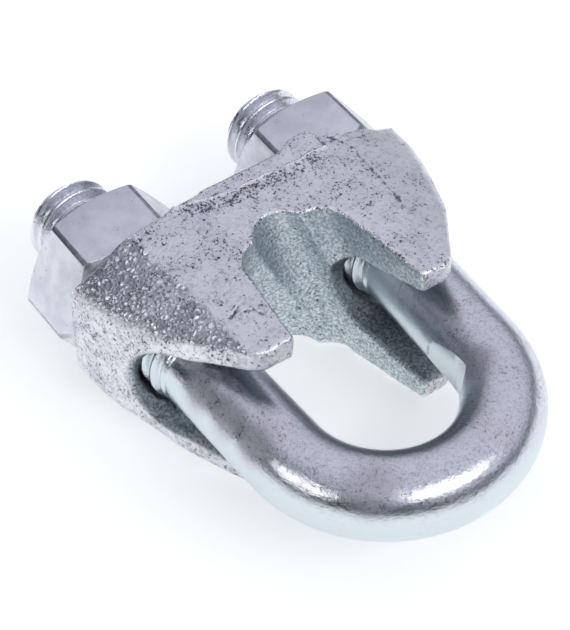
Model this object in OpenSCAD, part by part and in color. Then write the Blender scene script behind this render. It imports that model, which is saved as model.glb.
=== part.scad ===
// Wire rope clip for 10 mm rope: a U-bolt, a cast saddle and two M8 hexagon nuts.
//
// X runs across the two legs of the U-bolt, Y runs along the legs from the bow
// to the nuts, and Z runs along the rope. The clip lies on the flat lower cheek
// of the saddle, with the origin under the middle of its bounding box.
//
// Inside the modules, "bow frame" means Y = 0 at the centre of the bow's arc and
// Z = 0 in the plane of the U-bolt. to_base() moves it to the frame above.

/* [U-bolt] */
// Distance between the axes of the two threaded ends
leg_spacing = 20; // [19.6:0.1:22]
// Diameter of the round bar
bar_d = 7.1; // [6.6:0.05:7.4]
// Radius of the bow, to the middle of the bar
bow_r = 9.6; // [9.4:0.1:9.8]
// Angle by which each leg leans outwards between the bow and the thread
leg_lean = 2.1; // [1.9:0.05:2.6]
// Distance from the bow's centre to the tips of the threaded ends
leg_length = 32.2; // [30:0.2:36]

/* [Thread] */
// Major diameter of the thread
thread_d = 8; // [7.8:0.05:8.1]
// Pitch of the thread
pitch = 1.25; // [1:0.25:1.5]
// Bevel at the tip of each threaded end
tip_bevel = 0.7; // [0.5:0.1:1.2]

/* [Nuts] */
// Size across the flats
nut_af = 13; // [12.6:0.1:13.4]
// Height of a nut
nut_h = 6.5; // [5.5:0.1:6.8]
// How far each corner of the hexagon is turned from the X axis
nut_turn = 6; // [0:1:59]
// Diameter of the round face that the bevel leaves at each end of a nut
nut_face_d = 12.4; // [11.8:0.1:12.9]
// Clearance of the nut's bore around the thread, on the radius
nut_clear = 0.05; // [0.02:0.01:0.09]

/* [Saddle] */
// Size of the saddle across the legs
saddle_w = 32.8; // [31:0.2:36]
// Size of the saddle along the rope
saddle_b = 16; // [15:0.2:18]
// Distance from the bow's centre to the face that the nuts press on
seat_face_y = 20.3; // [18.5:0.1:22]
// Distance from the bow's centre to the tips of the prongs
prong_tip_y = 3.2; // [2:0.2:4.5]
// Width of the flat cheeks on both sides, between their sloping shoulders
cheek_w = 20; // [18:0.5:22]
// Height of the outer side wall, where the shoulders meet it
side_wall_h = 11; // [9:0.2:12]
// Depth of the round pockets in which the nuts sit
pocket_h = 0.7; // [0.3:0.1:1.2]
// Radius of the rope seat
rope_seat_r = 5.1; // [4.8:0.1:5.4]
// Height of the rope seat's centre above the bow's centre
rope_seat_y = 10.5; // [9.5:0.1:11]
// Width of the slot in which the legs lie
slot_w = 8.6; // [8.4:0.1:9]
// Width of the slot at the tips of the prongs, where it flares
slot_mouth_w = 11.4; // [9.2:0.2:12]
// Distance from the bow's centre to the closed round end of the slot
slot_end_y = 13.2; // [12.5:0.1:14]

/* [Hidden] */
$fn = 96;
eps = 0.02;

leg_x = leg_spacing / 2;
bar_r = bar_d / 2;
thread_r = thread_d / 2;

// The frame: the bounding box in Y runs from the bow to the tips of the legs.
mid_y = (leg_length - bow_r - bar_r) / 2;

// The right leg leaves the bow's arc and leans outwards to the start of the thread.
lean_start = [bow_r * cos(leg_lean), -bow_r * sin(leg_lean)];
lean_len = (leg_x - lean_start[0]) / sin(leg_lean);
stud_y0 = lean_start[1] + lean_len * cos(leg_lean);
// How far the leg runs into the first, unbroken crest of the thread, and into the bow
bar_lap = 0.4;
bow_lap = 0.3;
// How much thinner the leg is than the bow, so that it starts inside the bow's end
leg_step = 0.01;

// 60 degree thread form: crest flat P/8, depth 0.6134 P.
thread_depth = 0.6134 * pitch;
crest_flat = pitch / 8;
flank_len = thread_depth * tan(30);
root_r = thread_r - thread_depth;
first_crest = 0.6;
thread_turns = floor((leg_length - tip_bevel - first_crest - stud_y0) / pitch);
thread_y0 = leg_length - tip_bevel - thread_turns * pitch;

// Hexagon nut.
nut_corner_r = nut_af / 2 / cos(30);
nut_bore_r = thread_r + nut_clear;
nut_bevel_h = (nut_corner_r - nut_face_d / 2) * tan(30);
nut_rest_gap = eps;

// Saddle outline: outer corner, side wall, and the line down to the prong's tip.
half_w = saddle_w / 2;
half_b = saddle_b / 2;
rim_y = seat_face_y + pocket_h;
corner_r = 1.5;
shoulder_y = 14.3;
shoulder_r = 3.5;
tip_w = 2.8;
tip_r = 1.1;
prong_x = 8.9;
slot_end_r = slot_w / 2;
pocket_r = nut_corner_r + 0.22;

// Points of an arc about c, from angle a0 to a1 in n steps.
function arc(c, r, a0, a1, n) =
    [for (i = [0:n]) c + r * [cos(a0 + (a1 - a0) * i / n), sin(a0 + (a1 - a0) * i / n)]];

// Corner b of a polyline a-b-c, rounded with radius r.
function unit(v) = v / norm(v);
function turn(u, v) = u[0] * v[1] - u[1] * v[0] > 0 ? 1 : -1;
function rounded(a, b, c, r, n = 6) =
    let (
        u = unit(b - a),
        v = unit(c - b),
        s = turn(u, v),
        half = acos(u * v) / 2,
        start = b - u * r * tan(half),
        centre = start + s * r * [-u[1], u[0]],
        a0 = atan2(start[1] - centre[1], start[0] - centre[0])
    )
    arc(centre, r, a0, a0 + s * 2 * half, n);

// Right half of the saddle's outline, anticlockwise from the prong to the nut face.
tip_in = [prong_x - tip_w, prong_tip_y];
tip_out = [prong_x, prong_tip_y];
shoulder = [half_w, shoulder_y];
corner = [half_w, rim_y];
half_outline = concat(
    [[0, prong_tip_y]],
    rounded(tip_in, tip_out, shoulder, tip_r),
    rounded(tip_out, shoulder, corner, shoulder_r),
    rounded(shoulder, corner, [0, rim_y], corner_r),
    [[0, rim_y]]
);
n_half = len(half_outline);
saddle_outline = concat(
    half_outline,
    [for (i = [n_half - 1:-1:0]) [-half_outline[i][0], half_outline[i][1]]]
);

// From the bow frame to the frame of the whole clip.
module to_base() {
    translate([0, -mid_y, half_b]) children();
}

// Turns a shape that stands along +Z so that it lies along +Y.
module along_y() {
    rotate([-90, 0, 0]) children();
}

// ---------------------------------------------------------------- U-bolt

module bow() {
    rotate([0, 0, 180 + leg_lean])
        rotate_extrude(angle = 180 - 2 * leg_lean)
            translate([bow_r, 0]) circle(r = bar_r);
}

module leaning_leg() {
    translate([lean_start[0], lean_start[1], 0])
        rotate([0, 0, -leg_lean])
            translate([0, -bow_lap, 0])
                along_y() cylinder(h = bow_lap + lean_len + bar_lap, r = bar_r - leg_step);
}

// One turn of the thread form, from crest to crest, starting at height y.
function thread_turn(y) = [
    [root_r, y + flank_len],
    [root_r, y + pitch - flank_len - crest_flat],
    [thread_r, y + pitch - crest_flat],
    [thread_r, y + pitch]
];

module stud() {
    turns = [for (i = [0:thread_turns - 1]) thread_turn(thread_y0 + i * pitch)];
    form = [for (t = turns) for (p = t) p];
    along_y()
        rotate_extrude()
            polygon(concat(
                [[0, stud_y0], [bar_r + bar_lap / 4, stud_y0],
                 [thread_r, stud_y0 + bar_lap], [thread_r, thread_y0]],
                form,
                [[thread_r - tip_bevel, leg_length], [0, leg_length]]
            ));
}

module right_leg() {
    leaning_leg();
    translate([leg_x, 0, 0]) stud();
}

module u_bolt() {
    color([0.76, 0.79, 0.82])
        to_base() {
            bow();
            right_leg();
            mirror([1, 0, 0]) right_leg();
        }
}

// ---------------------------------------------------------------- saddle

// The block: its outline across the legs, with the four edges sloped to the side walls.
module saddle_block() {
    reach = 2 * leg_length;
    intersection() {
        linear_extrude(height = saddle_b, center = true) polygon(saddle_outline);
        translate([0, -reach / 2, 0])
            along_y()
                linear_extrude(height = reach)
                    polygon([
                        [cheek_w / 2, half_b], [-cheek_w / 2, half_b],
                        [-half_w, side_wall_h / 2], [-half_w, -side_wall_h / 2],
                        [-cheek_w / 2, -half_b], [cheek_w / 2, -half_b],
                        [half_w, -side_wall_h / 2], [half_w, side_wall_h / 2]
                    ]);
    }
}

// The trough for the rope, round at its end and slightly wider at the prongs.
module rope_seat() {
    mouth = tip_in[0] - 0.2;
    translate([0, rope_seat_y, 0]) cylinder(h = 2 * saddle_b, r = rope_seat_r, center = true);
    linear_extrude(height = 2 * saddle_b, center = true)
        polygon([
            [-rope_seat_r, rope_seat_y], [-mouth, prong_tip_y - 1],
            [mouth, prong_tip_y - 1], [rope_seat_r, rope_seat_y]
        ]);
}

// The slot in which both legs lie, open to the bow, the rope and the sides.
module leg_slot() {
    round_y = slot_end_y - slot_end_r;
    translate([0, round_y, 0])
        rotate([0, 90, 0]) cylinder(h = 2 * saddle_w, r = slot_end_r, center = true);
    rotate([0, 90, 0])
        linear_extrude(height = 2 * saddle_w, center = true)
            polygon([
                [-slot_end_r, round_y], [-slot_mouth_w / 2, prong_tip_y - 1],
                [slot_mouth_w / 2, prong_tip_y - 1], [slot_end_r, round_y]
            ]);
}

module leg_hole() {
    along_y() cylinder(h = rim_y, r = slot_w / 2);
}

// The round pocket in which a nut sits, so that its face is sunk below the rim.
module nut_pocket() {
    translate([0, seat_face_y, 0]) along_y() cylinder(h = 2 * pocket_h, r = pocket_r);
}

module saddle() {
    color([0.72, 0.72, 0.76])
        to_base()
            difference() {
                saddle_block();
                rope_seat();
                leg_slot();
                for (side = [-1, 1]) translate([side * leg_x, 0, 0]) {
                    leg_hole();
                    nut_pocket();
                }
            }
}

// ---------------------------------------------------------------- nuts

// A hexagon nut along +Z from z = 0, beveled at both ends and open for the thread.
module hex_nut() {
    difference() {
        intersection() {
            rotate([0, 0, -nut_turn]) cylinder(h = nut_h, r = nut_corner_r, $fn = 6);
            rotate_extrude()
                polygon([
                    [0, 0], [nut_face_d / 2, 0],
                    [nut_corner_r + eps, nut_bevel_h + eps * tan(30)],
                    [nut_corner_r + eps, nut_h - nut_bevel_h - eps * tan(30)],
                    [nut_face_d / 2, nut_h], [0, nut_h]
                ]);
        }
        translate([0, 0, -1]) cylinder(h = nut_h + 2, r = nut_bore_r);
        for (end = [0, 1])
            translate([0, 0, end * nut_h])
                mirror([0, 0, end])
                    translate([0, 0, -eps])
                        cylinder(h = pitch / 2, r1 = nut_bore_r + pitch / 2, r2 = nut_bore_r);
    }
}

module nut_on_leg(side) {
    color([0.74, 0.75, 0.82])
        to_base()
            translate([side * leg_x, seat_face_y + nut_rest_gap, 0])
                along_y() hex_nut();
}

module nut_left() {
    nut_on_leg(-1);
}

module nut_right() {
    nut_on_leg(1);
}

u_bolt();
saddle();
nut_left();
nut_right();
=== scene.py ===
"""The looks of a wire rope clip: U-bolt, cast saddle and two M8 nuts, all zinc plated.

Shapes are worked out in millimetres in the "bow frame": X across the legs, Y along
them with 0 at the centre of the bow's arc, Z along the rope with 0 in the U-bolt's plane.
"""
import math

import bmesh
import bpy
import numpy as np
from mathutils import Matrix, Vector, noise


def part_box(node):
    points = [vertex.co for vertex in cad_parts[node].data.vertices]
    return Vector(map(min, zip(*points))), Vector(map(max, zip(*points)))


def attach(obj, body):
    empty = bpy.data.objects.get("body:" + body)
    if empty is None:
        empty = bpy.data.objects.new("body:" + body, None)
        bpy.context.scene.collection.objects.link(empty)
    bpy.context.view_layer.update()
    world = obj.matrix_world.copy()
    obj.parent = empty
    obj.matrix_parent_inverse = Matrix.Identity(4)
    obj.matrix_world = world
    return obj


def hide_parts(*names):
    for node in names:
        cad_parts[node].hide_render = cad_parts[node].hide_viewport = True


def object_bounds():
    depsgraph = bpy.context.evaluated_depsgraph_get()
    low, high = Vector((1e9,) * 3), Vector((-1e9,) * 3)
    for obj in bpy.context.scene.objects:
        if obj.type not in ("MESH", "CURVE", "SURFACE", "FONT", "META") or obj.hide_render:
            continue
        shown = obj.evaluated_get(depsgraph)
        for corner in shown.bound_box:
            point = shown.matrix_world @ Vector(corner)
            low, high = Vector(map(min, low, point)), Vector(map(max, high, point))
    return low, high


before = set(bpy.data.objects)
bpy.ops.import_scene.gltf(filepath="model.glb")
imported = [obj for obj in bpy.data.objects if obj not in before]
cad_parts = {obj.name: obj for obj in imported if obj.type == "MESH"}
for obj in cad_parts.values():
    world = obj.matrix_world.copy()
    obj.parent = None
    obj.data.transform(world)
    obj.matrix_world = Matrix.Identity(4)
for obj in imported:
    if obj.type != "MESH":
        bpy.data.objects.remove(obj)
cad_low, cad_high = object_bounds()

# Without a seed, noise_vector() differs from run to run.
noise.seed_set(1)

MM = 0.001

# ------------------------------------------------------------------ sizes, in mm
# U-bolt
LEG_X = 10.0
BAR_R = 3.55
BOW_R = 9.6
LEG_LEAN = math.radians(2.1)
THREAD_R = 4.0
THREAD_DEPTH = 0.72
TIP_BEVEL = 0.7
PITCH = 1.25

# Nuts
NUT_AF = 13.0
NUT_CORNER_R = NUT_AF / 2 / math.cos(math.pi / 6)
NUT_H = 6.5
NUT_FACE_R = 6.2
NUT_TURN = math.radians(-6)

# Saddle: HALF_B is half its size along the rope, CHEEK_X half the width of a flat cheek,
# SIDE_H half the height of a side wall and PRONG_X half the width over the prongs' tips.
SEAT_R = 5.1
SEAT_Y = 10.5
HALF_B = 8.0
CHEEK_X = 10.0
SIDE_H = 5.5
PRONG_X = 8.9
SHOULDER_Y = 14.3
LEG_HOLE_R = 4.3
POCKET_R = NUT_CORNER_R + 0.02
LEDGE_Y = 19.8
LEDGE_DEPTH = 0.6
LEDGE_FROM, LEDGE_TO = -6.2, 8.4

bolt_low, bolt_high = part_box("u_bolt")
saddle_low, saddle_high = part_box("saddle")
nut_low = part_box("nut_left")[0]

# The bow frame's origin in the row frame, in metres.
BOW_ORIGIN = np.array([
    (bolt_low.x + bolt_high.x) / 2,
    bolt_low.y + (BOW_R + BAR_R) * MM,
    (bolt_low.z + bolt_high.z) / 2,
])
TIP_Y = (bolt_high.y - BOW_ORIGIN[1]) / MM
PRONG_TIP_Y = (saddle_low.y - BOW_ORIGIN[1]) / MM
NUT_FACE_Y = (nut_low.y - BOW_ORIGIN[1]) / MM
RIM_Y = (saddle_high.y - BOW_ORIGIN[1]) / MM
HALF_W = (saddle_high.x - saddle_low.x) / 2 / MM


# ------------------------------------------------------------------ mesh helpers
def to_row(points_mm):
    """Bow-frame millimetres to row-frame metres."""
    return np.asarray(points_mm, float) * MM + BOW_ORIGIN


def make_piece(name, points_mm, faces):
    mesh = bpy.data.meshes.new(name)
    mesh.from_pydata(to_row(points_mm).tolist(), [], [tuple(f) for f in faces])
    mesh.polygons.foreach_set("use_smooth", [True] * len(mesh.polygons))
    piece = bpy.data.objects.new(name, mesh)
    bpy.context.scene.collection.objects.link(piece)
    return piece


def edit(piece):
    """A bmesh of the piece, which finish_edit() writes back."""
    bm = bmesh.new()
    bm.from_mesh(piece.data)
    return bm


def finish_edit(piece, bm):
    for face in bm.faces:
        face.smooth = True
    bm.to_mesh(piece.data)
    bm.free()


def weld(piece):
    """Joins the points that fall together and turns every face outwards."""
    bm = edit(piece)
    bmesh.ops.remove_doubles(bm, verts=bm.verts, dist=0.003 * MM)
    bmesh.ops.dissolve_degenerate(bm, edges=bm.edges, dist=0.002 * MM)
    bmesh.ops.recalc_face_normals(bm, faces=bm.faces)
    finish_edit(piece, bm)


def round_edges(piece, width_mm):
    bm = edit(piece)
    inner = [e for e in bm.edges if len(e.link_faces) == 2]
    sharp = [e for e in inner if e.calc_face_angle() > math.radians(20)]
    bmesh.ops.bevel(bm, geom=sharp, offset=width_mm * MM, segments=2, profile=0.5, affect="EDGES")
    finish_edit(piece, bm)


def join(piece, points_mm, faces):
    """Adds more points and faces to a piece."""
    bm = edit(piece)
    verts = [bm.verts.new(p) for p in to_row(points_mm).tolist()]
    for face in faces.tolist():
        bm.faces.new([verts[i] for i in face])
    finish_edit(piece, bm)


def apply_modifiers(piece):
    bpy.context.view_layer.update()
    shaped = piece.evaluated_get(bpy.context.evaluated_depsgraph_get())
    mesh = bpy.data.meshes.new_from_object(shaped)
    piece.modifiers.clear()
    piece.data = mesh


def grid_faces(rows, cols, wrap=True):
    """Quads of a rows x cols grid of points, closed round the columns if wrap is true."""
    r, c = np.meshgrid(np.arange(rows - 1), np.arange(cols if wrap else cols - 1), indexing="ij")
    r, c = r.ravel(), c.ravel()
    d = (c + 1) % cols
    return np.stack([r * cols + c, r * cols + d, (r + 1) * cols + d, (r + 1) * cols + c], 1)


def fbm(p, scale_mm, octaves=3, seed=0.0):
    """Fractal noise of one point in mm, about -1 to 1."""
    q = Vector((p[0] / scale_mm + seed, p[1] / scale_mm - seed, p[2] / scale_mm + 2 * seed))
    return noise.fractal(q, 1.0, 2.0, octaves, noise_basis="PERLIN_ORIGINAL")


def fbm_all(points, scale_mm, octaves=3, seed=0.0):
    return np.array([fbm(p, scale_mm, octaves, seed) for p in points])


def points_of(piece):
    """A piece's points, in bow-frame millimetres."""
    flat = np.empty(len(piece.data.vertices) * 3)
    piece.data.vertices.foreach_get("co", flat)
    return (flat.reshape(-1, 3) - BOW_ORIGIN) / MM


def move_points(piece, points_mm):
    piece.data.vertices.foreach_set("co", to_row(points_mm).ravel())
    piece.data.update()


def mark_points(piece, name, values):
    """Writes one number or vector per point, which the materials read by name."""
    kind, field = ("FLOAT", "value") if values.ndim == 1 else ("FLOAT_VECTOR", "vector")
    layer = piece.data.attributes.new(name, kind, "POINT")
    layer.data.foreach_set(field, values.ravel())


def split_faces(piece, chosen):
    """Splits every edge of the faces for which chosen(x, y, z) is true."""
    bm = edit(piece)
    centres = (np.array([f.calc_center_median() for f in bm.faces]) - BOW_ORIGIN) / MM
    picked = chosen(*centres.T)
    edges = {e for f, take in zip(bm.faces, picked) if take for e in f.edges}
    bmesh.ops.subdivide_edges(bm, edges=list(edges), cuts=1, use_grid_fill=True)
    finish_edit(piece, bm)


# ------------------------------------------------------------------ implicit shapes
def round_max(a, b, r):
    """Intersection of two solids, its edge rounded with radius r."""
    u = np.maximum(a + r, 0)
    v = np.maximum(b + r, 0)
    return np.minimum(-r, np.maximum(a, b)) + np.sqrt(u * u + v * v)


def soft_max(a, b, k):
    """Intersection of two solids, blended where they are within k of each other."""
    h = np.maximum(k - np.abs(a - b), 0) / k
    return np.maximum(a, b) + h * h * k / 4


def step(lo, hi, v):
    """Rises smoothly from 0 at lo to 1 at hi."""
    t = np.clip((v - lo) / (hi - lo), 0, 1)
    return t * t * (3 - 2 * t)


def plane(u, v, p, q):
    """Signed distance from the line p-q in the (u, v) plane, positive on its right."""
    du, dv = q[0] - p[0], q[1] - p[1]
    length = math.hypot(du, dv)
    return ((u - p[0]) * dv - (v - p[1]) * du) / length


def surface_net(field, low, high, cell):
    """Quads on the zero surface of field(x, y, z) by naive surface nets, then Newton steps."""
    axes = [np.arange(lo, hi + cell, cell) for lo, hi in zip(low, high)]
    x, y, z = np.meshgrid(*axes, indexing="ij")
    f = field(x, y, z)
    n = [len(a) for a in axes]
    inside = f < 0
    total = np.zeros([m - 1 for m in n] + [3])
    count = np.zeros([m - 1 for m in n])
    corners = [(i, j, k) for i in (0, 1) for j in (0, 1) for k in (0, 1)]

    def part(a, c):
        return a[c[0]:n[0] - 1 + c[0], c[1]:n[1] - 1 + c[1], c[2]:n[2] - 1 + c[2]]

    for a in corners:
        for axis in range(3):
            if a[axis]:
                continue
            b = tuple(v + (i == axis) for i, v in enumerate(a))
            fa, fb = part(f, a), part(f, b)
            cross = (fa < 0) != (fb < 0)
            t = np.where(cross, fa / np.where(cross, fa - fb, 1), 0)
            for i in range(3):
                at = a[i] + (t if i == axis else 0)
                total[..., i] += np.where(cross, at, 0)
            count += cross
    cells = np.argwhere(count > 0)
    index = -np.ones(count.shape, int)
    index[tuple(cells.T)] = np.arange(len(cells))
    where = tuple(cells.T)
    points = (cells + total[where] / count[where][:, None]) * cell + np.array(low)
    quads = []
    for axis in range(3):
        b, c = (axis + 1) % 3, (axis + 2) % 3
        lower = [slice(0, m) for m in n]
        upper = [slice(0, m) for m in n]
        lower[axis], upper[axis] = slice(0, n[axis] - 1), slice(1, n[axis])
        sa, sb = inside[tuple(lower)], inside[tuple(upper)]
        edge = np.argwhere(sa != sb)
        edge = edge[(edge[:, b] > 0) & (edge[:, c] > 0)]
        edge = edge[(edge[:, b] < n[b] - 1) & (edge[:, c] < n[c] - 1)]
        flip = sa[tuple(edge.T)]
        ring = []
        for db, dc in ((-1, -1), (0, -1), (0, 0), (-1, 0)):
            e = edge.copy()
            e[:, b] += db
            e[:, c] += dc
            ring.append(index[tuple(e.T)])
        q = np.stack(ring, 1)
        q[~flip] = q[~flip][:, ::-1]
        quads.append(q)
    return onto_surface(field, points, cell)[0], np.concatenate(quads)


def onto_surface(field, points, cell):
    """Points moved onto the zero surface of a field, and the surface's normals there."""
    for _ in range(3):
        normal, off = gradient(field, points)
        points = points - normal * np.clip(off, -cell / 2, cell / 2)[:, None]
    return points, normal


def bend(field, points, h=0.25):
    """How sharply a surface bends at points: over 0 on an outer edge, under 0 in a corner."""
    x, y, z = points.T
    around = field(x + h, y, z) + field(x - h, y, z) + field(x, y + h, z) + field(x, y - h, z)
    return (around + field(x, y, z + h) + field(x, y, z - h) - 6 * field(x, y, z)) / (h * h)


def gradient(field, points, h=0.01):
    """Unit gradient and distance of a field at points."""
    x, y, z = points.T
    value = field(x, y, z)
    g = np.stack([
        field(x + h, y, z) - field(x - h, y, z),
        field(x, y + h, z) - field(x, y - h, z),
        field(x, y, z + h) - field(x, y, z - h),
    ], 1) / (2 * h)
    size = np.maximum(np.linalg.norm(g, axis=1), 1e-6)
    return g / size[:, None], value / size


# ------------------------------------------------------------------ saddle
# The trough carries the marks of the rope's strands: grooves that climb round it.
LAY_STEP = 6.0
LAY_SLOPE = 0.516
LAY_START = -3.65
LAY_DEPTH = 1.05
SEAT_FLARE = 0.11
PRONG_DRAFT = 0.14


def seat_radius(x, y, z):
    """The trough's radius, scalloped by the lay of the rope it is cast for."""
    arc = np.where(
        y > SEAT_Y,
        SEAT_R * np.arctan2(x, np.maximum(y - SEAT_Y, 1e-6)),
        np.sign(x) * (SEAT_R * math.pi / 2 + SEAT_Y - y),
    )
    turns = (arc - LAY_START - LAY_SLOPE * (HALF_B - z)) / LAY_STEP
    off = np.minimum(np.sqrt(4 * (turns - np.round(turns)) ** 2 + 0.012), 1)
    depth = LAY_DEPTH * (1 - step(5, 9, np.abs(arc)))
    return SEAT_R + 0.1 - depth * (1 - off) ** 2


def prong_spread(y, z):
    """How far the walls of the prongs lean outwards, towards the lower cheek."""
    return PRONG_DRAFT * np.maximum(SEAT_Y - y, 0) * (HALF_B - z) / (2 * HALF_B)


def seat_field(x, y, z):
    """The trough: under 0 inside it, where the rope lies."""
    above = np.sqrt(x * x + np.maximum(y - SEAT_Y, 0) ** 2) - seat_radius(x, y, z)
    return above - SEAT_FLARE * np.maximum(SEAT_Y - y, 0) - prong_spread(y, z)


SLOT_Y = 8.9
SLOT_R, SLOT_MOUTH = 4.25, 0.4
SLOT_FLARE, SLOT_MOUTH_FLARE = 0.27, 0.1


def slot_field(x, y, z):
    """The slot for the legs, wider where it breaks out of the side walls."""
    out = step(8, 14, np.abs(x))
    round_end = np.sqrt(z * z + np.maximum(y - SLOT_Y, 0) ** 2) - (SLOT_R + SLOT_MOUTH * out)
    return round_end - (SLOT_FLARE + SLOT_MOUTH_FLARE * out) * np.maximum(SLOT_Y - y, 0)


def ridge_x(y):
    """Where the flat cheek ends and the sloping shoulder starts."""
    return CHEEK_X + 0.06 * (y - SHOULDER_Y)


def ledge_line(x):
    """Where the ledge between the nuts starts: it wanders, and runs out to the rim on the left."""
    wander = 0.08 * np.sin(1.1 * x) + 0.05 * np.sin(2.9 * x + 1)
    return LEDGE_Y + 0.02 * np.maximum(1.5 - x, 0) ** 2 + wander


# The rim of the upper cheek: how far it rises, how it falls on the left, and its lobe.
RIM_RISE = 0.7
RIM_FALL, FALL_FROM, FALL_LENGTH = 0.024, -1, 6.9
LOBE_RISE = 0.7
LOBE_START, LOBE_END = (4.2, 6.8), (8.2, 8.7)


def rim_line(x, z):
    """How far the casting reaches towards the nuts: uneven along the upper cheek."""
    fall = RIM_FALL * np.clip(FALL_FROM - x, 0, FALL_LENGTH) ** 2
    left = RIM_Y + RIM_RISE - fall + 0.05 * np.sin(2.1 * x)
    lobe = left + LOBE_RISE * step(*LOBE_START, x)
    upper = lobe + (RIM_Y + 0.05 - lobe) * step(*LOBE_END, x)
    return RIM_Y + (upper - RIM_Y) * step(3, 5, z)


# How round the casting's edges are.
CORNER_ROUND = 3.0
RIM_ROUND = 0.5
PRONG_END_ROUND = 0.9
RIDGE_ROUND = 1.2
CHEEK_ROUND, SHOULDER_EXTRA = 0.35, 1.5
LEDGE_ROUND = 0.1
SEAT_ROUND = 0.3
SLOT_ROUND = 0.35
LEG_HOLE_ROUND = 0.25
POCKET_ROUND = 0.12


def saddle_field(x, y, z):
    """The casting: under 0 in its metal, and about the distance from its skin elsewhere."""
    ax, az = np.abs(x), np.abs(z)
    slope = plane(ax - prong_spread(y, z), y, (PRONG_X, PRONG_TIP_Y), (HALF_W, SHOULDER_Y))
    outline = round_max(slope, ax - HALF_W, CORNER_ROUND)
    outline = round_max(outline, y - rim_line(x, z), RIM_ROUND)
    outline = round_max(outline, PRONG_TIP_Y + 0.25 - 0.03 * x - y, PRONG_END_ROUND)
    shoulder = plane(ax - ridge_x(y), az, (0, HALF_B), (HALF_W - CHEEK_X, SIDE_H)) * -1
    top = soft_max(az - HALF_B, shoulder, RIDGE_ROUND)
    edge_round = CHEEK_ROUND + SHOULDER_EXTRA * step(10.5, 14.5, ax) * step(8, 13, y)
    solid = round_max(outline, top, edge_round)
    ledge_floor = HALF_B - LEDGE_DEPTH + 0.35 * step(5, 7.5, x)
    ledge = np.maximum(ledge_line(x) - y, ledge_floor - az)
    ledge = np.maximum(ledge, np.maximum(LEDGE_FROM - x, x - LEDGE_TO))
    solid = round_max(solid, -ledge, LEDGE_ROUND)
    solid = round_max(solid, -seat_field(x, y, z), SEAT_ROUND)
    solid = round_max(solid, -slot_field(x, y, z), SLOT_ROUND)
    leg = np.sqrt((ax - LEG_X) ** 2 + z * z)
    solid = round_max(solid, LEG_HOLE_R - leg, LEG_HOLE_ROUND)
    pocket = np.maximum(leg - POCKET_R, NUT_FACE_Y - y)
    return round_max(solid, -pocket, POCKET_ROUND)


# How coarse the sand left each shoulder: by the signs of X and Z.
SHOULDER_GRAIN = {(-1, 1): 1.0, (1, 1): 0.16, (-1, -1): 0.55, (1, -1): 0.8}
PEBBLE = 0.42
PEBBLE_DEPTH = 0.16
# Two small scars on the left cheek, and a dark seam down the right one.
SCARS = [
    [(-8.9, 8.3), (-8.4, 8.45), (-7.7, 8.9)],
    [(-7.5, 8.15), (-6.95, 7.9), (-6.6, 7.1)],
]
SEAM = [(9.1, 21), (10.1, 18.6), (9.9, 14), (9.7, 11)]
SCAR_DEPTH = 0.08
BEAD_HEIGHT = 0.14
BEAD_OFF, BEAD_WIDTH = 0.15, 0.16
STRIP_MIDDLE = 0.8
# The cheeks are sunk by this, so that their grain stays inside the CAD model's box.
SINK = 0.07
# The surface net's spacing, which keeps the casting under 200,000 triangles.
CELL = 0.295


def pebble(p):
    """Height of a pebbly grain, from 0 in its valleys to about 1 on its crowns."""
    q = Vector(p / PEBBLE)
    q += 0.55 * noise.noise_vector(q * 0.6) + 0.25 * noise.noise_vector(q * 1.7)
    near, centres = noise.voronoi(q)
    lean = noise.cell_vector(centres[0] * 9.7) - Vector((0.5, 0.5, 0.5))
    crown = min((near[1] - near[0]) / 0.5, 1.0)
    return crown * (0.6 + 0.7 * lean.x + 1.2 * lean.dot(q - centres[0])) + 0.25 * noise.noise(q * 1.9)


def near_line(x, y, line):
    """Distance in the XY plane from a line of points."""
    found = np.full(x.shape, 99.0)
    for (ax, ay), (bx, by) in zip(line, line[1:]):
        dx, dy = bx - ax, by - ay
        t = np.clip(((x - ax) * dx + (y - ay) * dy) / (dx * dx + dy * dy), 0, 1)
        found = np.minimum(found, np.hypot(x - ax - t * dx, y - ay - t * dy))
    return found


def near_shoulder(x, y, z):
    """Whether a place is on a sloping shoulder or just beside it."""
    return (np.abs(x) - ridge_x(y) > -0.6) & (np.abs(z) > 4.5)


def near_scar(x, y, z):
    """Whether a place on the upper cheek is in or beside a scar."""
    return (z > HALF_B - 0.5) & (np.minimum(*(near_line(x, y, scar) for scar in SCARS)) < 0.45)


def is_fine(x, y, z):
    """Whether a face needs to be small: the shoulders, the pitted strip, edges and scars."""
    shoulder = near_shoulder(x, y, z) & ((z < 0) | (x < 0))
    strip = (z > 7) & (y > 17.2) & (np.abs(x) < 9)
    sharp = np.abs(bend(saddle_field, np.stack([x, y, z], 1))) > 1.2
    return shoulder | strip | sharp | near_scar(x, y, z)


def is_finest(x, y, z):
    """Whether a face needs to be smaller still: the coarse shoulder, the bead and the scars."""
    coarse = near_shoulder(x, y, z) & (x < -9) & (z > 0)
    bead = (np.abs(y - ledge_line(x)) < 0.5) & (z > 7.3) & (x > LEDGE_FROM) & (x < LEDGE_TO)
    return coarse | near_scar(x, y, z) | bead


def coarseness(x, z):
    """How coarse the grain of the nearest shoulder is."""
    found = np.zeros(len(x))
    for (side, cheek), amount in SHOULDER_GRAIN.items():
        found[(np.sign(x) == side) & (np.sign(z) == cheek)] = amount
    return found


def pitted_strip(x, y, facing, wander):
    """1 on the strip of pits along the ledge, 0 away from it."""
    past = y - ledge_line(x)
    strip = step(-2.2, -1.0, past + 0.5 * wander) * step(0.9, 0.97, facing) * (past < -0.12)
    return strip * (1 - step(4.5, 8.5, np.abs(x - STRIP_MIDDLE) + 1.5 * wander))


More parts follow.
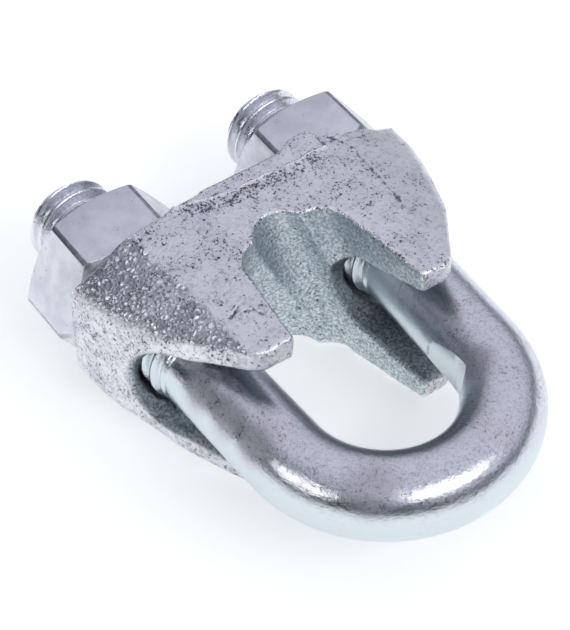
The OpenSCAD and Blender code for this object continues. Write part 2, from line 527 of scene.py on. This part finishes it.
def ledge_bead(x, y, z):
    """1 on the raised line along the foot of the upper ledge, 0 away from it."""
    bead = np.exp(-((y - ledge_line(x) + BEAD_OFF) / BEAD_WIDTH) ** 2)
    return bead * (z > HALF_B - 0.3) * (x > LEDGE_FROM) * (x < LEDGE_TO)


def scarred(x, y, z, coarse):
    """1 at the bottom of the scars, 0 away from them."""
    off = np.minimum(*(near_line(x, y, scar) for scar in SCARS)) + 0.16 * coarse
    return (1 - step(0.02, 0.22, off)) * (z > HALF_B - 0.5)


def weather(saddle):
    """Moves the casting's points as the sand left them, and marks what the plating shows and where
    shade and highlights are painted.
    """
    points, normal = onto_surface(saddle_field, points_of(saddle), CELL)
    x, y, z = points.T
    facing = np.abs(normal[:, 2])
    edge = bend(saddle_field, points)
    wander = fbm_all(points, 1.3, 3, 5.0)
    coarse = fbm_all(points, 0.5, 3, 2.0)
    fine = fbm_all(points, 0.24, 2, 4.0)
    clouds = fbm_all(points, 2.6, 2, 11.0)
    waves = fbm_all(points, 4.5, 2, 8.0)

    in_seat = (1 - step(0.12, 0.4, np.abs(seat_field(x, y, z)))) * (1 - step(0.75, 0.95, facing))
    from_slot = np.abs(slot_field(x, y, z))
    in_slot = (1 - step(0.08, 0.4, from_slot)) * (y < NUT_FACE_Y - 2)
    past_ridge = np.abs(x) - ridge_x(y) + 0.35 * wander
    shoulder = step(-0.1, 0.35, past_ridge) * step(0.42, 0.66, facing)
    grain = shoulder * coarseness(x, z) * (0.8 + 0.2 * step(-0.4, 0.3, clouds))
    strip = pitted_strip(x, y, facing, wander)
    bead = ledge_bead(x, y, z)
    scar = scarred(x, y, z, coarse)
    height = np.array([pebble(p) if g > 0.05 else 0.6 for p, g in zip(points, grain)])

    shift = grain * PEBBLE_DEPTH * (height - 0.9)
    shift += 0.04 * coarse * (0.2 + in_seat + in_slot + strip)
    shift += 0.035 * fine * (strip + grain)
    shift += BEAD_HEIGHT * bead * (0.7 + 0.6 * wander)
    shift += 0.05 * waves
    shift -= SCAR_DEPTH * scar + SINK * step(HALF_B - 0.5, HALF_B - 0.1, np.abs(z))
    moved = points + normal * shift[:, None]
    moved[:, 2] = np.clip(moved[:, 2], -HALF_B, HALF_B)
    move_points(saddle, moved)

    off_bead = 1 - np.clip(1.6 * bead, 0, 1)
    on_outside = np.maximum(step(6.9, 7.5, np.abs(z)), 1 - in_seat)
    on_outside *= 0.3 + 0.7 * step(0.5, 0.9, from_slot)
    upper = z > 0
    mark_points(saddle, "grain", np.maximum(grain, bead * (0.9 + 0.8 * wander)))
    mark_points(saddle, "pits", np.maximum(strip * np.where(upper, 1, 0.6) * off_bead, scar * 1.2))
    # Painted shade: darker in the grain's valleys, in inner corners and in the scars.
    mark_points(saddle, "hollow_shade", grain * (1 - np.clip(height, 0, 1)) + step(0.3, 2, -edge) + scar)
    # Painted highlight: light colour along the outer edges.
    mark_points(saddle, "rim", step(1.4, 2.8, edge) * (1 - shoulder) * on_outside * off_bead)
    mark_points(saddle, "side", (1 - step(0.3, 0.7, facing)) * (1 - in_seat) * (1 - in_slot))
    # The trough and the slot, which the material paints darker as painted shade.
    mark_points(saddle, "seat", in_seat)
    mark_points(saddle, "slot", in_slot)
    mark_points(saddle, "seam", np.where(upper, near_line(x, y, SEAM) + 0.25 * coarse, 9.0))


def make_saddle():
    """The casting: a net over saddle_field, finer where it bends, then weathered."""
    low = (-HALF_W - 0.5, PRONG_TIP_Y - 0.5, -HALF_B - 0.5)
    high = (HALF_W + 0.5, RIM_Y + 2, HALF_B + 0.5)
    saddle = make_piece("saddle_casting", *surface_net(saddle_field, low, high, CELL))
    split_faces(saddle, is_fine)
    split_faces(saddle, is_finest)
    weather(saddle)
    return saddle


# ------------------------------------------------------------------ threads
TURN_ROWS = 14


def helix_rows(y0, y1, angles, radius):
    """Points and faces of a surface round the Y axis, its rows climbing with the thread.

    radius(raw, y, phase) gives the radius: raw is the height before it is cut off at y0
    and y1, and phase counts the turns of the thread. The rows past each end fall together.
    """
    step_y = PITCH / TURN_ROWS
    rows = np.arange(-TURN_ROWS - 1, int((y1 - y0) / step_y) + 6)
    row, angle = np.meshgrid(rows, angles, indexing="ij")
    raw = y0 + step_y * row + PITCH * (angle - angles[0]) / (2 * math.pi)
    y = np.clip(raw, y0, y1)
    r = radius(raw, y, raw / PITCH - angle / (2 * math.pi))
    points = np.stack([r * np.cos(angle), y, -r * np.sin(angle)], -1)
    return points.reshape(-1, 3), grid_faces(len(rows), len(angles), wrap=False)


def thread_form(phase, major, minor):
    """Radius of a rounded 60 degree thread."""
    crest, root = 0.14, 0.2
    t = np.abs(((phase + 0.5) % 1.0) - 0.5) * 2
    rise = np.clip((t - root) / (1 - root - crest), 0, 1)
    return minor + (major - minor) * (rise - 0.06 * np.sin(2 * math.pi * rise))


# ------------------------------------------------------------------ U-bolt
RING = 96
LEAN_START = np.array([BOW_R * math.cos(LEG_LEAN), -BOW_R * math.sin(LEG_LEAN)])
LEAN_LENGTH = (LEG_X - LEAN_START[0]) / math.sin(LEG_LEAN)
THREAD_Y0 = LEAN_START[1] + LEAN_LENGTH * math.cos(LEG_LEAN)
TIP_R = THREAD_R - TIP_BEVEL
RUN_OUT = 1.5


def bar_path():
    """Points and tangents of the bar's middle line, from one thread to the other."""
    top = np.array([LEG_X, THREAD_Y0])
    leg = [top + (LEAN_START - top) * t for t in np.linspace(0, 1, 36)]
    angles = np.linspace(-LEG_LEAN, -math.pi + LEG_LEAN, 130)
    bow = [np.array([BOW_R * math.cos(a), BOW_R * math.sin(a)]) for a in angles[1:-1]]
    other = [np.array([-p[0], p[1]]) for p in leg[::-1]]
    line = np.array(leg + bow + other)
    tangent = np.gradient(line, axis=0)
    tangent[0], tangent[-1] = (0, -1), (0, 1)
    return line, tangent / np.linalg.norm(tangent, axis=1)[:, None]


def stud_radius(raw, y, phase):
    """A rolled thread: it swells out of the bar, and ends in a bevel and a flat face."""
    swell = step(0, RUN_OUT, y - THREAD_Y0)
    r = BAR_R + (thread_form(phase, THREAD_R - 0.03, THREAD_R - THREAD_DEPTH) - BAR_R) * swell
    r = np.minimum(r, TIP_R + TIP_Y - y)
    past = np.floor((raw - TIP_Y) / PITCH * TURN_ROWS + 1e-6)
    return np.where(past < 0, r, TIP_R * np.clip(1 - past / 3, 0, 1))


def make_bolt():
    """The bar swept along its path, a helical stud on each leg, and the tool mark."""
    line, tangent = bar_path()
    side = np.stack([tangent[:, 1], -tangent[:, 0]], 1)
    a = np.arange(RING) * 2 * math.pi / RING
    bar = np.zeros((len(line), RING, 3))
    bar[..., :2] = line[:, None, :] + side[:, None, :] * BAR_R * np.cos(a)[None, :, None]
    bar[..., 2] = BAR_R * np.sin(a)
    points = [bar.reshape(-1, 3)]
    faces = [grid_faces(len(line), RING)]
    count = len(line) * RING
    for leg_x in (-LEG_X, LEG_X):
        p, f = helix_rows(THREAD_Y0, TIP_Y, np.append(a, 2 * math.pi), stud_radius)
        points.append(p + (leg_x, 0, 0))
        faces.append(f + count)
        count += len(p)
    bolt = make_piece("u_bolt_bar", np.concatenate(points), np.concatenate(faces))
    weld(bolt)
    cut_mark(bolt)
    points = points_of(bolt)
    mark_points(bolt, "flow", along_bar(points))
    mark_points(bolt, "scuff", scuffed(points))
    bolt.data.set_sharp_from_angle(angle=math.radians(40))
    return bolt


# Where the bar was gripped and rubbed: centre, and how far the scuffing reaches.
SCUFFS = [
    ((-7.4, -8.8, 3.0), 3.0), ((7.0, -3.0, 2.8), 2.2), ((-12.5, 7.2, 2.2), 2.3),
    ((-12.4, 3.8, 2.3), 2.3), ((-12.2, 0.4, 2.4), 2.2),
]


def scuffed(points):
    """How scuffed the bar is at each point, 1 at the middle of each rubbed place."""
    found = np.zeros(len(points))
    for centre, reach in SCUFFS:
        off = np.linalg.norm(points - np.array(centre), axis=1)
        found = np.maximum(found, 1 - step(0.3, 1.1, off / reach))
    return found


def along_bar(points):
    """Each point's place in the bar as if it were straight: across, up and along."""
    x, y, z = points.T
    start_x, start_y = LEAN_START
    leg_across = np.abs(x) - np.minimum(start_x + (y - start_y) * math.tan(LEG_LEAN), LEG_X)
    right_leg = y - start_y - BOW_R * LEG_LEAN
    left_leg = start_y - y - BOW_R * (math.pi - LEG_LEAN)
    angle = np.arctan2(y, x)
    round_bow = BOW_R * np.where(angle > 0, angle - 2 * math.pi, angle)
    bent = y < start_y
    across = np.where(bent, np.hypot(x, y) - BOW_R, leg_across)
    along = np.where(bent, round_bow, np.where(x > 0, right_leg, left_leg))
    return np.stack([across, z, along], 1)


# The mark that a tool left on the inside of the right leg: a flat with this (Y, Z) outline,
# at MARK_X in its middle, and falling away to either side.
MARK_OUTLINE = [
    (2.3, -1.0), (2.3, 0.3), (1.8, 1.2), (0.9, 1.65), (-0.1, 1.8), (-1.0, 1.95), (-2.0, 2.15),
    (-2.4, 2.2), (-2.75, 1.9), (-3.1, 1.5), (-3.4, 0.9), (-3.6, 0), (-3.6, -1.5), (-3.0, -2.6),
    (0.8, -2.6), (1.9, -2.0),
]
MARK_X, MARK_Y = 6.6, -1
MARK_FALL = 0.1
MARK_DEPTH = 3


def cut_mark(bolt):
    bm = bmesh.new()
    rings, middles = [], []
    for x in (MARK_X, MARK_X - MARK_DEPTH):
        ring = [to_row((x - MARK_FALL * abs(y - MARK_Y), y, z)) for y, z in MARK_OUTLINE]
        rings.append([bm.verts.new(p) for p in ring])
        middles.append(bm.verts.new(to_row((x, MARK_Y, 0))))
    for i in range(len(MARK_OUTLINE)):
        j = i - 1
        bm.faces.new([rings[0][j], rings[0][i], rings[1][i], rings[1][j]])
        for ring, middle in zip(rings, middles):
            bm.faces.new([middle, ring[j], ring[i]])
    bmesh.ops.recalc_face_normals(bm, faces=bm.faces)
    mesh = bpy.data.meshes.new("mark")
    bm.to_mesh(mesh)
    bm.free()
    cutter = bpy.data.objects.new("mark", mesh)
    bpy.context.scene.collection.objects.link(cutter)
    cut = bolt.modifiers.new("mark", "BOOLEAN")
    cut.operation = "DIFFERENCE"
    cut.solver = "EXACT"
    cut.object = cutter
    apply_modifiers(bolt)
    bpy.data.objects.remove(cutter)


# ------------------------------------------------------------------ nuts
CORNER_CUT = 0.115
CORNER_HALF = math.radians(1.55)
MOUTH_R = THREAD_R + 0.35
EDGE_BEVEL = 0.07


def nut_angles():
    """Angles of the nut's columns, which hit both edges of each narrow corner flat."""
    start = NUT_TURN - CORNER_HALF
    side = math.pi / 3
    column = [start, start + CORNER_HALF]
    column += list(start + np.linspace(2 * CORNER_HALF, side, 24, endpoint=False))
    ring = [a + k * side for k in range(6) for a in column]
    return np.array(ring + [start + 2 * math.pi])


def from_corner_of(angle):
    """The angle from the nearest corner of the nut."""
    return (angle - NUT_TURN + math.pi / 6) % (math.pi / 3) - math.pi / 6


def hex_radius(angle):
    """Radius of the hexagon at an angle, its corners cut to narrow flats."""
    from_corner = from_corner_of(angle)
    flat = NUT_AF / 2 / np.cos(math.pi / 6 - np.abs(from_corner))
    return np.minimum(flat, (NUT_CORNER_R - CORNER_CUT) / np.cos(from_corner))


def bore_radius(_, y, phase):
    """The nut's own thread, with a countersink at each end."""
    from_end = np.minimum(y - NUT_FACE_Y, NUT_FACE_Y + NUT_H - y)
    thread = thread_form(phase, THREAD_R + 0.03, THREAD_R - THREAD_DEPTH + 0.09)
    return np.maximum(thread, MOUTH_R - 1.5 * from_end)


def make_nut(side):
    """A hexagon turned round its leg, with both faces chamfered and a helical thread inside."""
    leg_x = -LEG_X if side == "left" else LEG_X
    angles = nut_angles()
    around = angles[:-1]
    hex_r = hex_radius(around)
    bevel = (hex_r - NUT_FACE_R) * math.tan(math.pi / 6)
    profile = [
        (MOUTH_R, 0), (NUT_FACE_R, 0), (hex_r, bevel),
        (hex_r, NUT_H - bevel), (NUT_FACE_R, NUT_H), (MOUTH_R, NUT_H),
    ]
    rings = []
    for r, y in profile:
        ring = np.stack([r * np.cos(around), y + NUT_FACE_Y + 0 * around, -r * np.sin(around)], -1)
        rings.append(ring + (leg_x, 0, 0))
    nut = make_piece("hex_" + side, np.concatenate(rings), grid_faces(len(rings), len(around)))
    round_edges(nut, EDGE_BEVEL)
    bore, bore_faces = helix_rows(NUT_FACE_Y, NUT_FACE_Y + NUT_H, angles, bore_radius)
    join(nut, bore + (leg_x, 0, 0), bore_faces)
    weld(nut)
    x, _, z = (points_of(nut) - (leg_x, 0, 0)).T
    # The narrow corner flats, which the material paints dark as a painted reflection.
    at_corner = np.abs(from_corner_of(np.arctan2(-z, x))) < math.radians(1.8)
    outside = np.hypot(x, z) > NUT_FACE_R + 0.7
    mark_points(nut, "corner", (at_corner & outside).astype(float))
    nut.data.set_sharp_from_angle(angle=math.radians(35))
    return nut


# ------------------------------------------------------------------ materials
class Nodes:
    """A short way to write the node tree of a material or of the world."""

    def __init__(self, owner):
        owner.use_nodes = True
        self.owner = owner
        self.tree = owner.node_tree

    def add(self, kind, output=0, inputs=None, **settings):
        node = self.tree.nodes.new("ShaderNode" + kind)
        for key, value in settings.items():
            setattr(node, key, value)
        for key, value in (inputs or {}).items():
            self.put(node.inputs[key], value)
        return node.outputs[output]

    def put(self, socket, value):
        if isinstance(value, bpy.types.NodeSocket):
            self.tree.links.new(value, socket)
        else:
            socket.default_value = value

    def millimetres(self, stretch=(1, 1, 1)):
        place = self.add("TexCoord", "Object")
        scale = [v / MM for v in stretch]
        return self.add("VectorMath", inputs={0: place, 1: scale}, operation="MULTIPLY")

    def attribute(self, name, output="Fac"):
        return self.add("Attribute", output, attribute_name=name)

    def noise(self, vector, scale, detail=3.0, rough=0.55, shift=0.0):
        inputs = {"Vector": vector, "Scale": scale, "Detail": detail, "Roughness": rough, "W": shift}
        return self.add("TexNoise", inputs=inputs, noise_dimensions="4D")

    def ramp(self, value, lo, hi, out_lo=0.0, out_hi=1.0):
        inputs = {0: value, 1: lo, 2: hi, 3: out_lo, 4: out_hi}
        return self.add("MapRange", inputs=inputs, interpolation_type="SMOOTHSTEP")

    def math(self, operation, *values):
        return self.add("Math", inputs=dict(enumerate(values)), operation=operation)

    def multiply(self, a, b):
        return self.math("MULTIPLY", a, b)

    def largest(self, a, b):
        return self.math("MAXIMUM", a, b)

    def mix(self, factor, a, b):
        inputs = {"Factor": factor, "A": (*a, 1) if isinstance(a, tuple) else a}
        inputs["B"] = (*b, 1) if isinstance(b, tuple) else b
        node = self.tree.nodes.new("ShaderNodeMix")
        node.data_type = "RGBA"
        for key, value in inputs.items():
            socket = next(s for s in node.inputs if s.name == key and s.enabled)
            self.put(socket, value)
        return next(s for s in node.outputs if s.enabled)

    def bump(self, height, depth_mm, below=None):
        inputs = {"Height": height, "Distance": depth_mm * MM, "Strength": 1.0}
        if below is not None:
            inputs["Normal"] = below
        return self.add("Bump", inputs=inputs)

    def metal(self, colour, roughness, normal):
        shader = self.tree.nodes["Principled BSDF"]
        self.put(shader.inputs["Base Color"], colour)
        self.put(shader.inputs["Roughness"], roughness)
        self.put(shader.inputs["Normal"], normal)
        self.put(shader.inputs["Metallic"], 1.0)
        return self.owner


# Where the threads' brighter plating takes over from the bar's, along the row's Y in mm.
STUD_FADE = (13.0, 17.0)


def bar_zinc():
    """Plating on drawn bar: streaks along the bar, scuffed patches and fine scratches."""
    n = Nodes(bpy.data.materials.new("zinc_on_bar"))
    flow = n.attribute("flow", "Vector")
    scuff = n.attribute("scuff")
    along = n.add("VectorMath", inputs={0: flow, 1: (1, 1, 0.16)}, operation="MULTIPLY")
    streaks = n.noise(along, 2.4, 4, 0.6)
    patches = n.noise(flow, 0.26, 4, 0.65, 3.0)
    flecks = n.noise(flow, 3.8, 4, 0.75, 7.0)

    # The bar's upper and lower sides lie open to wear, and its inner and outer sides don't. The same
    # mask also paints a reflection: teal on the inner and outer sides, lavender on the upper and
    # lower ones.
    from_middle = n.math("ABSOLUTE", n.add("SeparateXYZ", "Y", {0: flow}))
    wear_and_painted_tint = n.ramp(from_middle, 0.8, 2.4, 0.1, 1.0)
    worn = n.multiply(n.largest(n.ramp(patches, 0.5, 0.62), scuff), wear_and_painted_tint)
    fleck_share = n.math("ADD", n.multiply(worn, 0.45), n.multiply(wear_and_painted_tint, 0.45))
    dots = n.multiply(n.ramp(n.noise(flow, 6.5, 3, 0.8, 11.0), 0.5, 0.6, 0.0, 0.3), wear_and_painted_tint)
    dark = n.largest(n.multiply(n.ramp(flecks, 0.53, 0.64), fleck_share), dots)
    rubbed_and_edge_highlight = n.multiply(scuff, n.ramp(patches, 0.3, 0.6, 0.5, 1.0))
    stud = n.ramp(n.add("SeparateXYZ", "Y", {0: n.millimetres()}), *STUD_FADE)

    # Painted reflection: teal on the bar's inner and outer sides, lavender on its upper and lower
    # sides.
    colour = n.mix(wear_and_painted_tint, (0.67, 0.74, 0.77), (0.71, 0.72, 0.78))
    colour = n.mix(worn, colour, (0.69, 0.67, 0.73))
    colour = n.mix(rubbed_and_edge_highlight, colour, (0.52, 0.51, 0.56))
    colour = n.mix(stud, colour, (0.82, 0.83, 0.88))
    colour = n.mix(dark, colour, (0.16, 0.15, 0.2))
    rough = n.math("ADD", n.ramp(streaks, 0.3, 0.7, 0.1, 0.17), n.multiply(worn, 0.1))
    rough = n.math("ADD", rough, n.multiply(rubbed_and_edge_highlight, 0.2))
    normal = n.bump(streaks, 0.012)
    normal = n.bump(n.noise(flow, 0.6, 3, 0.5, 5.0), 0.06, normal)
    normal = n.bump(flecks, 0.03, normal)
    return n.metal(colour, rough, normal)


def cast_zinc():
    """Plating on a sand casting: grain, mottling and dark pits, with painted shade in hollows, trough
    and slot, painted glints on the grain's crowns and a painted highlight along the outer edges.
    """
    n = Nodes(bpy.data.materials.new("zinc_on_casting"))
    place = n.millimetres()
    grain, pits, hollow_shade, side = (n.attribute(name) for name in ("grain", "pits", "hollow_shade", "side"))
    rim, seat, slot, seam = (n.attribute(name) for name in ("rim", "seat", "slot", "seam"))
    fine = n.noise(place, 4.0, 4, 0.65)
    speck = n.noise(place, 4.6, 3, 0.7, 4.0)
    mottle = n.noise(place, 0.4, 4, 0.7, 9.0)

    # Dark specks: denser in the mottling's dull parts, the pitted strip, rims and side walls.
    denser = n.math("ADD", n.multiply(pits, 0.08), n.multiply(n.largest(rim, side), 0.03))
    limit = n.math("SUBTRACT", n.ramp(mottle, 0.38, 0.62, 0.645, 0.575), denser)
    dark = n.ramp(n.math("SUBTRACT", speck, limit), -0.02, 0.045)
    line = n.multiply(n.ramp(seam, 0.0, 0.12, 1.0, 0.0), n.ramp(mottle, 0.42, 0.52, 0.1, 0.9))
    dark = n.largest(dark, line)

    soft = n.ramp(n.noise(place, 2.4, 3, 0.65, 12.0), 0.5, 0.68, 0.0, 0.4)
    colour = n.mix(n.ramp(mottle, 0.35, 0.65), (0.87, 0.86, 0.91), (0.77, 0.77, 0.83))
    colour = n.mix(soft, colour, (0.36, 0.35, 0.41))
    stain = n.multiply(side, n.ramp(n.noise(place, 1.3, 4, 0.75, 18.0), 0.48, 0.66, 0.0, 0.5))
    colour = n.mix(stain, colour, (0.42, 0.4, 0.42))

    # Painted shade: the trough is painted a darker teal and the slot nearly black, and both are
    # gritty.
    colour = n.mix(seat, colour, (0.63, 0.71, 0.76))
    colour = n.mix(slot, colour, (0.13, 0.17, 0.19))
    grit = n.mix(n.ramp(fine, 0.42, 0.6), (0.27, 0.33, 0.37), (0.95, 0.98, 1.0))
    gritty = n.multiply(n.largest(seat, n.multiply(slot, 0.5)), 0.6)
    colour = n.mix(gritty, colour, grit)

    # Painted shade in the grain's valleys, inner corners and scars.
    colour = n.mix(n.ramp(hollow_shade, 0.3, 1.0, 0.0, 0.75), colour, (0.23, 0.22, 0.27))
    # Painted glints: the crowns of the grain are painted white.
    crown = n.ramp(n.math("SUBTRACT", grain, hollow_shade), 0.38, 0.72)
    colour = n.mix(crown, colour, (1.0, 1.0, 1.0))
    # Painted highlight: the outer edges are painted near white, in broken patches.
    rubbed_and_edge_highlight = n.multiply(rim, n.ramp(n.noise(place, 2.2, 3, 0.7, 15.0), 0.43, 0.53, 0.1, 1.0))
    colour = n.mix(rubbed_and_edge_highlight, colour, (0.97, 0.96, 0.97))
    colour = n.mix(dark, colour, (0.15, 0.13, 0.15))
    rough = n.ramp(mottle, 0.3, 0.7, 0.36, 0.46)
    rough = n.math("SUBTRACT", rough, n.multiply(n.largest(grain, rubbed_and_edge_highlight), 0.2))
    normal = n.bump(n.math("SUBTRACT", fine, n.multiply(dark, 0.8)), 0.08)
    return n.metal(colour, rough, normal)


def nut_zinc():
    """Plating on machined bar: faint drawing lines, scratches and dull clouds."""
    n = Nodes(bpy.data.materials.new("zinc_on_nut"))
    place = n.millimetres()
    lines = n.noise(n.millimetres((1, 0.08, 1)), 3.0, 3, 0.6)
    clouds = n.noise(place, 0.5, 4, 0.65, 2.0)
    dark = n.ramp(n.noise(place, 2.2, 3, 0.7, 6.0), 0.64, 0.72, 0.0, 0.7)
    corner_dark_reflection = n.ramp(n.noise(place, 1.6, 3, 0.7, 8.0), 0.3, 0.6, 0.4, 0.9)
    colour = n.mix(n.ramp(clouds, 0.35, 0.65), (0.75, 0.76, 0.81), (0.67, 0.68, 0.74))
    # Painted reflection: the narrow corner flats are painted dark, in patches.
    colour = n.mix(n.multiply(n.attribute("corner"), corner_dark_reflection), colour, (0.3, 0.28, 0.34))
    colour = n.mix(dark, colour, (0.2, 0.19, 0.24))
    rough = n.ramp(clouds, 0.3, 0.7, 0.3, 0.42)
    normal = n.bump(lines, 0.012)
    normal = n.bump(n.noise(place, 0.9, 3, 0.5, 1.0), 0.03, normal)
    return n.metal(colour, rough, normal)


# ------------------------------------------------------------------ stage
CAM_TARGET = (-1.2, 11.884, 0.0)
CAM_FROM = (-72.75, -91.347, 139.225)
CAM_LENS = 144.04
CAM_SENSOR = 36

# The room from straight below (0) to straight overhead (1), and how it pales to the right.
SKY = [
    (0.0, (0.8, 0.84, 0.86)), (0.49, (0.8, 0.84, 0.86)), (0.505, (0.02, 0.035, 0.04)),
    (0.58, (0.04, 0.06, 0.07)), (0.68, (0.28, 0.31, 0.35)), (0.8, (0.61, 0.62, 0.7)),
    (1.0, (0.7, 0.71, 0.8)),
]
SKY_LEAN = 0.75
BACKDROP = (1.0, 1.0, 1.0)

# Strip lights: direction from the clip, size in metres and power in watts.
STRIPS = {
    "left_strip": ((-0.87, -0.03, 0.48), (0.36, 0.1), 0.5),
    "front_strip": ((0.15, -0.68, 0.72), (0.42, 0.1), 0.62),
}
STRIP_DISTANCE = 0.6


def make_camera():
    """The photograph's viewpoint, fitted to the outline of the clip."""
    data = bpy.data.cameras.new("camera")
    data.sensor_fit = "HORIZONTAL"
    data.sensor_width = CAM_SENSOR
    data.lens = CAM_LENS
    data.clip_start = 0.01
    data.clip_end = 10
    camera = bpy.data.objects.new("camera", data)
    bpy.context.scene.collection.objects.link(camera)
    camera.location = to_row(CAM_FROM)
    look = Vector(to_row(CAM_TARGET)) - camera.location
    camera.rotation_euler = look.to_track_quat("-Z", "Y").to_euler()
    bpy.context.scene.camera = camera


def make_floor():
    """White paper, which glows a little so that it stays white round the clip."""
    bpy.ops.mesh.primitive_plane_add(size=3, location=(0, 0, cad_low.z))
    floor = bpy.context.object
    floor.name = "floor"
    n = Nodes(bpy.data.materials.new("floor_paper"))
    shader = n.tree.nodes["Principled BSDF"]
    n.put(shader.inputs["Base Color"], (0.92, 0.94, 0.93, 1))
    n.put(shader.inputs["Emission Color"], (1.0, 1.0, 0.98, 1))
    n.put(shader.inputs["Emission Strength"], 0.42)
    n.put(shader.inputs["Roughness"], 0.9)
    floor.data.materials.append(n.owner)


def make_room():
    """The room that the metal mirrors, dark at the table's height, and a white backdrop."""
    world = bpy.context.scene.world or bpy.data.worlds.new("studio")
    bpy.context.scene.world = world
    n = Nodes(world)
    direction = n.add("TexCoord", "Generated")
    across, up = (n.add("SeparateXYZ", axis, {0: direction}) for axis in ("X", "Z"))
    height = n.multiply(up, n.math("MULTIPLY_ADD", across, SKY_LEAN, 1.0))
    colours = n.add("ValToRGB", inputs={0: n.math("MULTIPLY_ADD", height, 0.5, 0.5)})
    points = colours.node.color_ramp.elements
    while len(points) < len(SKY):
        points.new(0.5)
    for point, (at, colour) in zip(points, SKY):
        point.position = at
        point.color = (*colour, 1)
    seen = n.add("LightPath", "Is Camera Ray")
    n.put(n.tree.nodes["Background"].inputs["Color"], n.mix(seen, colours, BACKDROP))


def make_strip(name, direction, size, power):
    """A soft light, its long side level with the table, that faces the clip from a direction."""
    data = bpy.data.lights.new(name, "AREA")
    data.shape = "RECTANGLE"
    data.size, data.size_y = size
    data.energy = power
    light = bpy.data.objects.new(name, data)
    bpy.context.scene.collection.objects.link(light)
    at = Vector(direction).normalized()
    light.location = at * STRIP_DISTANCE
    light.rotation_euler = (-at).to_track_quat("-Z", "Y").to_euler()


make_camera()
make_floor()
make_room()
for name, (direction, size, power) in STRIPS.items():
    make_strip(name, direction, size, power)
bpy.context.scene.view_settings.view_transform = "Standard"

saddle = make_saddle()
bolt = make_bolt()
nuts = {side: make_nut(side) for side in ("left", "right")}
zinc = {"bar": bar_zinc(), "casting": cast_zinc(), "nut": nut_zinc()}
for piece, node, finish in (
    (saddle, "saddle", "casting"), (bolt, "u_bolt", "bar"),
    (nuts["left"], "nut_left", "nut"), (nuts["right"], "nut_right", "nut"),
):
    piece.data.materials.append(zinc[finish])
    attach(piece, node)
    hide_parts(node)
    print(piece.name, len(piece.data.polygons), "faces")
